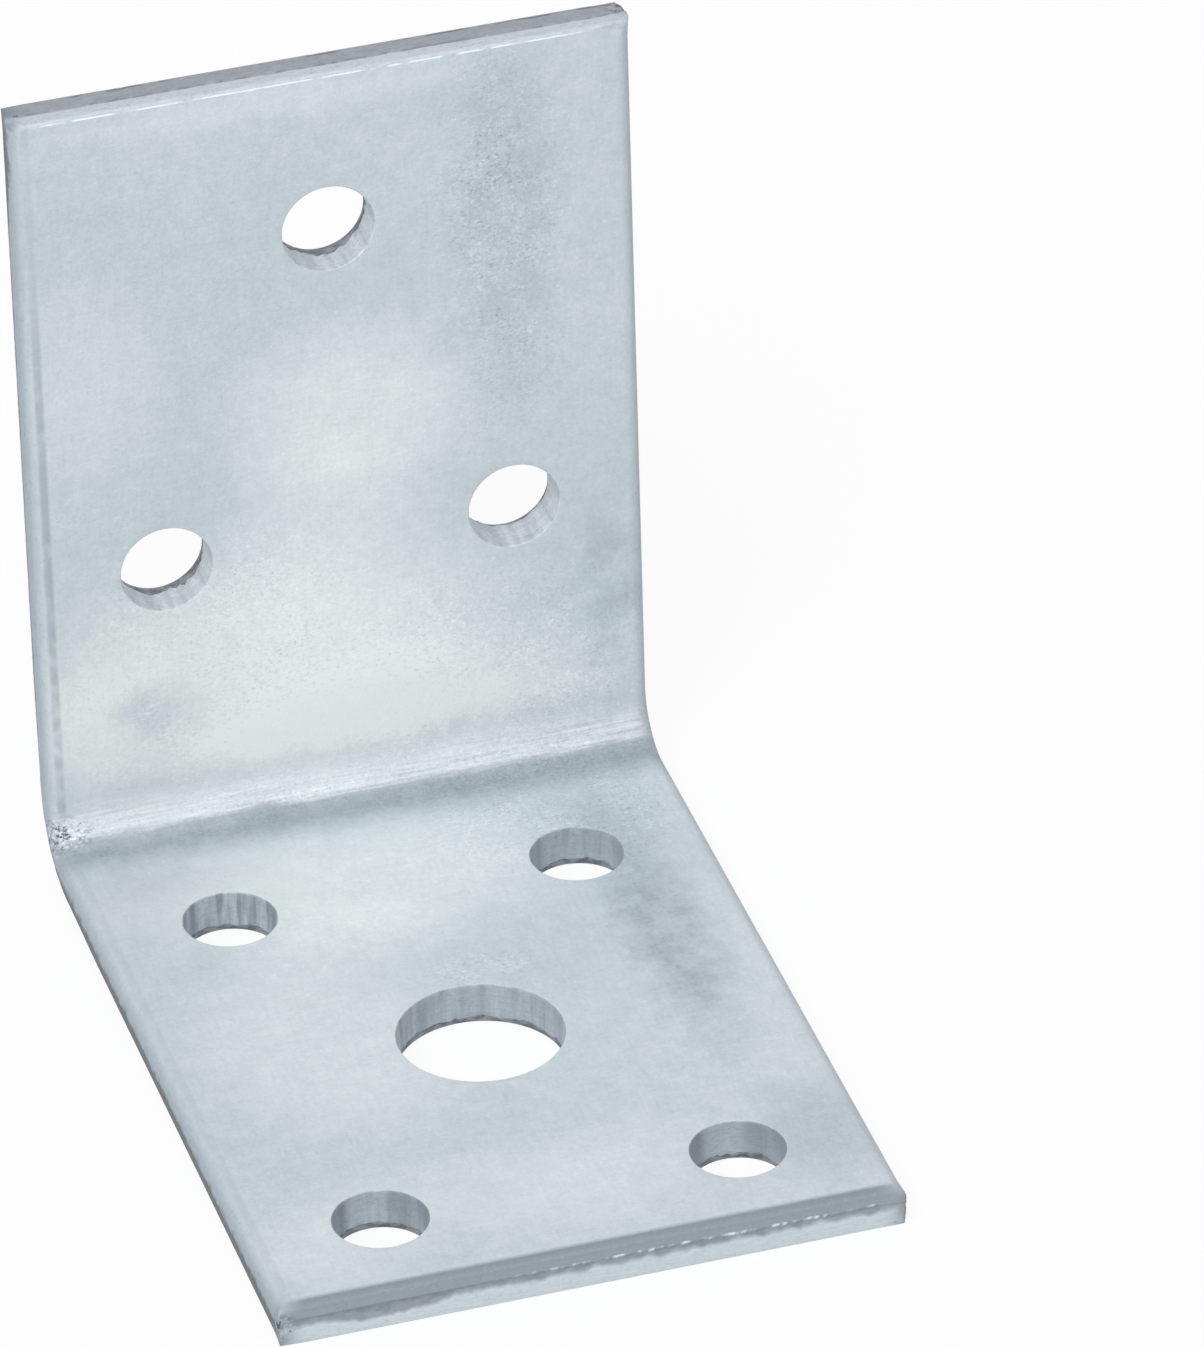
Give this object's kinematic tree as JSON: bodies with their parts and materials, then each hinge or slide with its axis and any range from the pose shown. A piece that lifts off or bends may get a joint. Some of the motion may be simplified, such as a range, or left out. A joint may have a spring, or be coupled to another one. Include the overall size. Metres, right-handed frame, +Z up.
{
  "type": "angle bracket",
  "caption": "Right-angle bracket folded from galvanised steel strip, with nail holes in both legs and a larger bolt hole in the base.",
  "frame": {"origin": "middle of the base leg's underside, at the centre of the bounding box's bottom face", "axes": "+Z up along the upright leg, +Y from the open front towards the upright's back face, X across the strip"},
  "size_m": [0.035, 0.0494, 0.0488],
  "materials": {
    "galvanised_steel": "hot-dip galvanised, matt satin"
  },
  "bodies": {
    "root": {"bracket": "galvanised_steel"}
  },
  "joints": []
}
